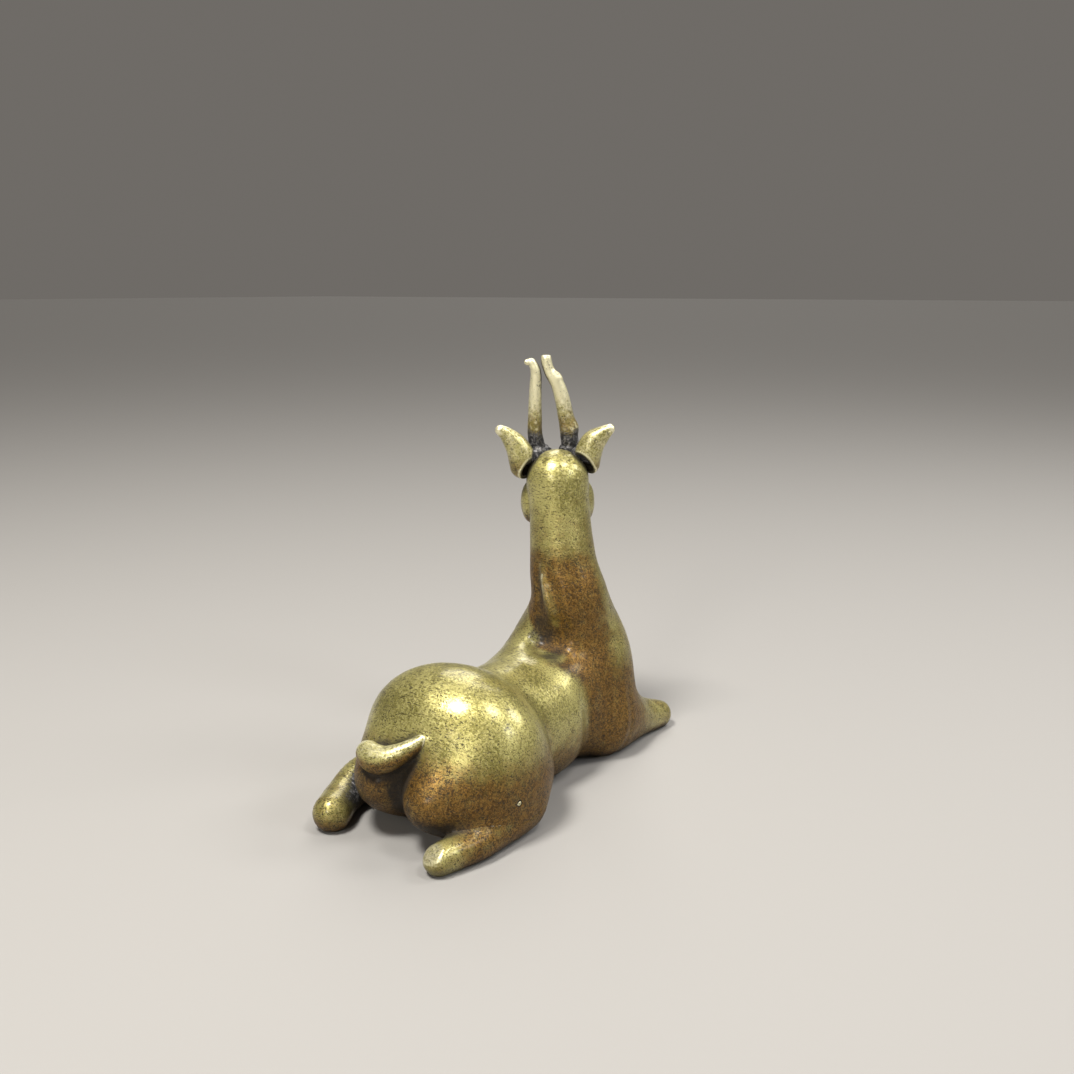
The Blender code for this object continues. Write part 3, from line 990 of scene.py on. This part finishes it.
def pits_and_specks(w, place, brown):
    """Small dark dots, crowded in some places and few in others."""
    crowd = w.math("ADD", w.noise(place, CROWDS, 2.0), w.math("MULTIPLY_ADD", brown, 0.16, -0.08))
    pits = w.node("ShaderNodeTexVoronoi", Vector=place, Scale=PITS, Randomness=1.0).outputs["Distance"]
    pit_radius = w.step(crowd, 0.45, 0.70, 0.06, 0.24)
    pit = w.step(w.math("SUBTRACT", pits, pit_radius), 0.04, -0.03)
    speck_edge = w.step(crowd, 0.35, 0.68, 0.66, 0.55)
    speck = w.step(w.math("SUBTRACT", w.noise(place, SPECKS, 2.0, 0.7), speck_edge), 0.0, 0.05)
    return w.math("MAXIMUM", pit, speck)


def curls_and_scratches(w, place):
    """Fine curling marks in some places, and straight scratches three ways."""
    curl = w.math("ABSOLUTE", w.math("SUBTRACT", w.noise(place, CURLS, 1.0, 0.5, 1.3), 0.5))
    somewhere = w.step(w.noise(place, MARKED, 1.0), 0.48, 0.56)
    marks = w.math("MULTIPLY", w.step(curl, 0.020, 0.005), somewhere)
    for turn in SCRATCH_TURNS:
        turned = w.node("ShaderNodeMapping", Vector=place, Rotation=turn, Scale=SCRATCH_SCALE)
        line = w.step(w.noise(turned.outputs[0], 1.0, 1.0, 0.5, 0.5), 0.64, 0.69)
        marks = w.math("MAXIMUM", marks, line)
    return marks


def set_gloss(w, layers):
    """How metallic, how rough and how glossy the skin is, layer over layer."""
    metallic = w.blend(layers["patina_and_shade"], METALLIC["olive"], METALLIC["patina_and_shade"])
    for kind in ("dots", "dirt_and_shade", "solder"):
        metallic = w.blend(layers[kind], metallic, METALLIC[kind])
    w.put(w.shader.inputs["Metallic"], metallic)

    coarse = w.step(layers["grainy"], 0.35, 0.70)
    roughness = w.blend(coarse, ROUGHNESS["smooth"], ROUGHNESS["grainy"])
    for kind in ("patina_and_shade", "rubbed", "dots", "dirt_and_shade", "solder"):
        roughness = w.blend(layers[kind], roughness, ROUGHNESS[kind])
    w.put(w.shader.inputs["Roughness"], roughness)

    dull = w.math("MAXIMUM", layers["patina_and_shade"], layers["dirt_and_shade"])
    w.put(w.shader.inputs["Coat Weight"], w.blend(dull, COAT, COAT_DULL))
    w.shader.inputs["Coat Roughness"].default_value = COAT_ROUGHNESS


def set_relief(w, layers):
    """Hammered unevenness, grain, pits, scratches and crusty solder."""
    relief = w.math("MULTIPLY", layers["patchy"], RELIEF["patchy"])
    for kind in ("grainy", "fine", "dots", "marks", "crust"):
        relief = w.math("MULTIPLY_ADD", layers[kind], RELIEF[kind], relief)
    bump = w.node("ShaderNodeBump", Strength=1.0, Distance=MM, Height=relief)
    w.put(w.shader.inputs["Normal"], bump.outputs[0])


def aged_metal(name, wear, specks, grey_all=0.0):
    """Cast brass that has gone olive and brown, rubbed bright where hands reach, darkened with painted
    shade in hollows and underneath, and paler with painted highlights on some tops.

    wear, from 0 to 1, is how cream the metal has become, specks is how many dark pits it shows, and
    grey_all is how much solder covers it everywhere.
    """
    w = Wiring(name)
    texture = w.node("ShaderNodeTexCoord").outputs["Object"]
    scaled = w.node("ShaderNodeVectorMath", {"operation": "SCALE"})
    w.put(scaled.inputs[0], texture)
    w.put(scaled.inputs["Scale"], 1 / MM)
    place = scaled.outputs[0]

    broad = w.noise(place, BROAD, 3.0, 0.55)
    patchy = w.noise(place, PATCHY, 4.0, 0.6)
    grainy = w.noise(place, GRAINY, 4.0, 0.65, 0.3)
    fine = w.noise(place, FINE, 2.0, 0.6)

    # Olive brass, paler and darker in clouds
    cloud = w.math("ADD", w.math("MULTIPLY", broad, 0.4), w.math("MULTIPLY", grainy, 0.6))
    colour = w.mix(w.step(cloud, 0.40, 0.58), OLIVE_DARK, OLIVE_LIGHT)

    # Brown patina, and brown painted shade on low and downward parts, which fades into the olive and is
    # freckled inside
    brown = w.mark("brown")
    ragged = w.uneven(w.uneven(brown, patchy, 1.0), grainy, 0.9)
    patina_and_shade = w.step(ragged, -0.05, 1.08, 0.0, 0.98)
    freckles = w.step(w.noise(place, FRECKLES, 4.0, 0.78, 0.8), 0.36, 0.62)
    colour = w.mix(patina_and_shade, colour, w.mix(freckles, BROWN_DARK, BROWN_LIGHT))

    # Dark dots and scratches
    dots = w.math("MULTIPLY", pits_and_specks(w, place, brown), specks)
    colour = w.mix(w.math("MULTIPLY", dots, COVER["dots"]), colour, SPECK)
    marks = w.math("MULTIPLY", curls_and_scratches(w, place), specks)
    colour = w.mix(w.math("MULTIPLY", marks, COVER["marks"]), colour, SPECK)

    # Metal rubbed pale, and pale painted highlights
    wear_and_highlight = w.math("ADD", w.math("MULTIPLY", w.mark("wear_and_highlight"), 0.9), wear)
    wear_and_highlight = w.math("MULTIPLY_ADD", patina_and_shade, -0.35, wear_and_highlight)
    wear_and_highlight = w.uneven(w.uneven(wear_and_highlight, patchy, 0.9), grainy, 1.3)
    pale = w.math("MULTIPLY", w.step(wear_and_highlight, 0.20, 0.95), w.blend(dots, 1.0, 0.3))
    colour = w.mix(w.math("MULTIPLY", pale, COVER["rubbed"]), colour, CREAM)

    # Painted shade in the hollows, in creases and near the ground, with some dirt
    darkened = w.uneven(w.uneven(w.mark("hollow"), grainy, 0.75), patchy, 0.35)
    dirt_and_shade = w.step(darkened, 0.18, 0.85)
    colour = w.mix(w.math("MULTIPLY", dirt_and_shade, COVER["dirt_and_shade"]), colour, SHADE)

    # Grey solder, dark and crusty with pale crumbs
    grey = w.math("MAXIMUM", w.mark("grey"), grey_all)
    grey = w.uneven(w.uneven(grey, grainy, 1.2), patchy, 0.8)
    solder = w.step(grey, 0.25, 0.75)
    crust = w.noise(place, CRUST, 4.0, 0.70, 0.8)
    colour = w.mix(solder, colour, w.mix(w.step(crust, 0.44, 0.70), SOLDER_DARK, SOLDER_LIGHT))
    w.put(w.shader.inputs["Base Color"], colour)

    layers = {
        "patchy": patchy,
        "grainy": grainy,
        "fine": fine,
        "patina_and_shade": patina_and_shade,
        "dots": dots,
        "marks": marks,
        "rubbed": pale,
        "dirt_and_shade": dirt_and_shade,
        "solder": solder,
        "crust": w.math("MULTIPLY", crust, solder),
    }
    set_gloss(w, layers)
    set_relief(w, layers)
    return w.material


BRONZE = aged_metal("aged_bronze", wear=0.0, specks=1.0)
WORN = aged_metal("worn_bronze_skin", wear=0.26, specks=1.0)
LEAF = aged_metal("worn_bronze_leaf", wear=0.20, specks=1.0)
SOLDER = aged_metal("solder_crust", wear=0.0, specks=0.3, grey_all=1.0)


# Making the pieces

# The bright pin in the right haunch: its middle, the way it is driven, its size, the gap round it, how far
# it stands above the skin and how round its end is
CORE_PIN_PLACE = np.array([-18.4, 26.2, 8.3])
TO_HAUNCH = np.array(HAUNCH_RIGHT[0]) - CORE_PIN_PLACE
CORE_PIN_WAY = TO_HAUNCH / np.linalg.norm(TO_HAUNCH)
CORE_PIN_RADIUS = 0.42
CORE_PIN_DEPTH = 2.0
CORE_PIN_GAP = 0.02
CORE_PIN_RISE = 0.04
CORE_PIN_EDGE = 0.12

SOLDER_FILLET = 0.7
SOLDER_UNEVEN = ((0.13, 1.3), (0.05, 0.6))


def core_pin(p, radius):
    along = (p - CORE_PIN_PLACE) @ CORE_PIN_WAY
    away = np.linalg.norm(p - CORE_PIN_PLACE - along[:, None] * CORE_PIN_WAY, axis=1) - radius
    return np.maximum(away, np.abs(along) - CORE_PIN_DEPTH)


def drilled_body(p):
    return np.maximum(body_casting(p), -core_pin(p, CORE_PIN_RADIUS + CORE_PIN_GAP))


def pin_plug(p):
    return both(core_pin(p, CORE_PIN_RADIUS), whole(p, body_alone(p)) - CORE_PIN_RISE, CORE_PIN_EDGE)


def solder_crust(blobs, seed):
    """Lumps of solder run together: each blob is a place and a radius."""
    (coarse, coarse_length), (fine, fine_length) = SOLDER_UNEVEN

    def piece(p):
        lump = np.full(len(p), FAR)
        for *place, radius in blobs:
            lump = join(lump, away_from(p, place) - radius, SOLDER_FILLET)
        return lump + coarse * ripple(p, coarse_length, seed) + fine * ripple(p, fine_length, seed + 1)

    return piece


# The skirt of solder round a horn: how many blobs, how high they are, how far along from the horn's first
# point to its second, and then each blob's distance out and radius: the least, and what chance may add
SKIRT_BLOBS = 9
SKIRT_HEIGHT = (60.1, 0.9)
SKIRT_ALONG = 0.55
SKIRT_OUT = (1.25, 0.35)
SKIRT_RADIUS = (0.75, 0.3)

# The solder stem of an ear: how many blobs, where it starts on the head and how far it then runs out and
# down, how far chance moves a blob, the radius, and how much thinner chance may make the outer end
STEM_BLOBS = 6
STEM_START = (3.9, 0.7, 59.9)
STEM_LENGTH = 2.9
STEM_DROP = 0.9
STEM_STRAY = 0.5
STEM_RADIUS = 1.25
STEM_THINNING = 0.2


def horn_solder(points, seed):
    """A skirt of blobs round a horn where it stands on the head."""
    chance = np.random.default_rng(seed)
    middle = points[0][0] * (1 - SKIRT_ALONG) + points[1][0] * SKIRT_ALONG
    blobs = []
    for turn in np.arange(SKIRT_BLOBS) * math.tau / SKIRT_BLOBS:
        out = SKIRT_OUT[0] + SKIRT_OUT[1] * chance.random()
        across = middle + math.cos(turn) * out
        forward = points[1][1] + math.sin(turn) * out
        up = SKIRT_HEIGHT[0] + SKIRT_HEIGHT[1] * chance.random()
        radius = SKIRT_RADIUS[0] + SKIRT_RADIUS[1] * chance.random()
        blobs.append((*on_head(across, forward, up), radius))
    return solder_crust(blobs, seed)


def ear_solder(side, seed):
    """The lumpy stem between the head and an ear."""
    chance = np.random.default_rng(seed)
    start_across, start_forward, start_up = STEM_START
    blobs = []
    for share in np.linspace(0, 1, STEM_BLOBS):
        across = start_across + STEM_LENGTH * share
        up = start_up - STEM_DROP * share + STEM_STRAY * chance.random()
        forward = start_forward + STEM_STRAY * chance.random()
        radius = STEM_RADIUS - STEM_THINNING * share * chance.random()
        blobs.append((*on_head(side * across, forward, up), radius))
    return solder_crust(blobs, seed)


def head_box(across, forward, up):
    """The box round a stretch of the head: each argument is a low and a high value."""
    corners = [on_head(a, f, u) for a in across for f in forward for u in up]
    return np.min(corners, axis=0), np.max(corners, axis=0)


# Solder on the head round each horn and ear, and on the ears: across, forward, up and reach
CROWN_SOLDER = (
    (-3.2, 4.0, 59.6, 3.0),
    (2.2, 4.0, 59.8, 3.0),
    (-4.6, 1.0, 59.4, 2.1),
    (4.6, 1.0, 59.4, 2.1),
)
EAR_ROOT_PLACE = (5.2, 0.7, 59.4)
EAR_ROOT_REACH = 2.6


def body_grey(points):
    marks = [grey_mark(points, on_head(*place), reach) for *place, reach in CROWN_SOLDER]
    return np.max(marks, axis=0)


def horn_grey(points):
    return ease(67.0, 61.5, points[:, 2])


def ear_grey(points):
    marks = [grey_mark(points, place, EAR_ROOT_REACH) for place in on_each_side(EAR_ROOT_PLACE)]
    return np.max(marks, axis=0)


def leg_grey(points):
    """A crust of solder where the left hind leg meets the body."""
    return 0.85 * ease(3.4, 0.9, body_alone(points)) * ease(1.5, 3.0, points[:, 2])


def no_grey(points):
    return np.zeros(len(points))


# The box that each shape is sculpted in: its lowest and its highest corner
BODY_BOX = ((-21, -38.5, -0.7), (21, 41, 62.5))
LEG_RIGHT_BOX = ((-20, 13, -0.7), (-6, 44, 10))
LEG_LEFT_BOX = ((6, 13, -0.7), (22, 43, 10))
TAIL_BOX = ((-6, 29, 12), (10, 41, 21))
PIN_BOX = ((-20, 23, 6), (-15, 28, 11))
EAR_LEFT_BOX = head_box((-13.5, -2.5), (-4.5, 5.0), (53.5, 67.5))
EAR_RIGHT_BOX = head_box((2.5, 13.5), (-4.5, 5.0), (53.5, 67.5))
HORN_LEFT_BOX = head_box((-8.0, 0.0), (-0.5, 7.0), (55.0, 79.8))
HORN_RIGHT_BOX = head_box((-4.5, 5.0), (-0.5, 7.0), (55.0, 81.0))
HORN_SOLDER_LEFT_BOX = head_box((-7.0, 0.0), (0.5, 7.5), (57.0, 63.5))
HORN_SOLDER_RIGHT_BOX = head_box((-1.5, 6.0), (0.5, 7.5), (57.0, 63.5))
EAR_SOLDER_LEFT_BOX = head_box((-8.5, -2.0), (-1.5, 3.5), (56.5, 62.0))
EAR_SOLDER_RIGHT_BOX = head_box((2.0, 8.5), (-1.5, 3.5), (56.5, 62.0))

LEG_RIGHT = attached_piece("hind_leg_right")
LEG_LEFT = attached_piece("hind_leg_left")

# Node, shape, box, step of the grid, brown and grey
BRONZE_PIECES = (
    ("body_casting", drilled_body, BODY_BOX, 0.42, body_brown, body_grey),
    ("hind_leg_right", LEG_RIGHT, LEG_RIGHT_BOX, 0.28, leg_right_brown, no_grey),
    ("hind_leg_left", LEG_LEFT, LEG_LEFT_BOX, 0.28, leg_left_brown, leg_grey),
)
WORN_PIECES = (
    ("tail", attached_piece("tail"), TAIL_BOX, 0.22, tail_brown, no_grey),
    ("horn_left", LEFT_HORN, HORN_LEFT_BOX, 0.20, horn_brown, horn_grey),
    ("horn_right", RIGHT_HORN, HORN_RIGHT_BOX, 0.20, horn_brown, horn_grey),
    ("core_pin_plug", pin_plug, PIN_BOX, 0.12, no_brown, no_grey),
)
EAR_PIECES = (
    ("ear_left", LEFT_EAR, EAR_LEFT_BOX, 0.18, ear_brown, ear_grey),
    ("ear_right", RIGHT_EAR, EAR_RIGHT_BOX, 0.18, ear_brown, ear_grey),
)
SOLDER_PIECES = (
    ("horn_solder_left", horn_solder(HORN_LEFT, 51), HORN_SOLDER_LEFT_BOX, 0.18, no_brown, no_grey),
    ("horn_solder_right", horn_solder(HORN_RIGHT, 53), HORN_SOLDER_RIGHT_BOX, 0.18, no_brown, no_grey),
    ("ear_solder_left", ear_solder(-1, 55), EAR_SOLDER_LEFT_BOX, 0.18, no_brown, no_grey),
    ("ear_solder_right", ear_solder(1, 57), EAR_SOLDER_RIGHT_BOX, 0.18, no_brown, no_grey),
)

for slot, metal, pieces in (
    ("bronze", BRONZE, BRONZE_PIECES),
    ("worn_bronze", WORN, WORN_PIECES),
    ("worn_bronze", LEAF, EAR_PIECES),
    ("solder", SOLDER, SOLDER_PIECES),
):
    for node, shape, (low, high), step, brown, grey in pieces:
        points, quads, normals = sculpt(shape, low, high, step)
        marks = marks_of(points, quads, normals, brown, grey)
        piece = make_piece(f"{node}.cast", points, quads, normals, marks, metal)
        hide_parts(node)

for slot in bpy.data.objects["belly_plate"].material_slots:
    slot.material = BRONZE


# Floor, light and camera

FLOOR_SIZE = 16.0
FLOOR_COLOUR = (0.31, 0.30, 0.29, 1.0)
FLOOR_ROUGHNESS = 0.9
WORLD_COLOUR = (0.93, 0.865, 0.79, 1.0)
WORLD_STRENGTH = 0.17

floor_mesh = bpy.data.meshes.new("floor")
half = FLOOR_SIZE / 2
corners = [(-half, -half, 0), (half, -half, 0), (half, half, 0), (-half, half, 0)]
floor_mesh.from_pydata(corners, [], [(0, 1, 2, 3)])
floor = bpy.data.objects.new("floor", floor_mesh)
bpy.context.scene.collection.objects.link(floor)
pale = bpy.data.materials.new("pale_floor")
pale.use_nodes = True
pale_shader = pale.node_tree.nodes["Principled BSDF"]
pale_shader.inputs["Base Color"].default_value = FLOOR_COLOUR
pale_shader.inputs["Roughness"].default_value = FLOOR_ROUGHNESS
floor_mesh.materials.append(pale)

bpy.context.scene.view_settings.view_transform = "Standard"
world = bpy.data.worlds.new("studio")
bpy.context.scene.world = world
world.use_nodes = True
background = world.node_tree.nodes["Background"]
background.inputs["Color"].default_value = WORLD_COLOUR
background.inputs["Strength"].default_value = WORLD_STRENGTH

# Each soft light: the way to it from the deer, its distance, its side, its power and its colour
LIGHTS = (
    ("overhead", (0.07, 0.40, 0.91), 0.55, 0.13, 3.9, (1.0, 0.97, 0.91)),
    ("overhead_right", (-0.42, -0.06, 0.90), 0.55, 0.12, 1.0, (1.0, 0.98, 0.94)),
    ("front_right", (-0.55, -0.55, 0.63), 0.60, 0.16, 1.1, (1.0, 0.98, 0.94)),
    ("behind_camera", (-0.15, 0.88, 0.45), 0.70, 0.13, 1.1, (1.0, 0.96, 0.88)),
    ("right", (-0.80, -0.10, 0.58), 0.60, 0.14, 0.6, (0.94, 0.97, 1.0)),
)
AIM = Vector((0.0, 0.0, 0.03))
for name, way, distance, side, power, colour in LIGHTS:
    lamp = bpy.data.lights.new(name, "AREA")
    lamp.energy = power
    lamp.size = side
    lamp.color = colour
    light = bpy.data.objects.new(name, lamp)
    light.location = AIM + Vector(way).normalized() * distance
    light.rotation_euler = (AIM - light.location).to_track_quat("-Z", "Y").to_euler()
    bpy.context.scene.collection.objects.link(light)

# A weak, soft sun from the front lights the face, and keeps the far floor as bright as the background.
# SUN_WAY is the way to it from the deer.
SUN_WAY = Vector((0.33, -0.64, 0.69))
SUN_STRENGTH = 1.35
SUN_SPREAD = math.radians(36)
SUN_COLOUR = (1.0, 0.97, 0.92)
sun = bpy.data.lights.new("front", "SUN")
sun.energy = SUN_STRENGTH
sun.angle = SUN_SPREAD
sun.color = SUN_COLOUR
sun_light = bpy.data.objects.new("front", sun)
sun_light.rotation_euler = (-SUN_WAY).to_track_quat("-Z", "Y").to_euler()
bpy.context.scene.collection.objects.link(sun_light)

# The camera's place in the deer's frame, where it looks, from -Y towards +X and down, and its lens
CAMERA_PLACE = np.array([-113.1, 161.4, 92.6])
CAMERA_HEADING = math.radians(34.0)
CAMERA_PITCH = math.radians(13.1)
LENS = 36.0
SENSOR = 36.0
NEAR_CLIP = 0.005
FAR_CLIP = 20.0
ahead = Vector(
    (
        math.sin(CAMERA_HEADING) * math.cos(CAMERA_PITCH),
        -math.cos(CAMERA_HEADING) * math.cos(CAMERA_PITCH),
        -math.sin(CAMERA_PITCH),
    )
)
lens = bpy.data.cameras.new("camera")
lens.sensor_width = SENSOR
lens.lens = LENS
lens.clip_start = NEAR_CLIP
lens.clip_end = FAR_CLIP
camera = bpy.data.objects.new("camera", lens)
camera.location = (CAMERA_PLACE + SHIFT) * MM
camera.rotation_euler = ahead.to_track_quat("-Z", "Y").to_euler()
bpy.context.scene.collection.objects.link(camera)
bpy.context.scene.camera = camera
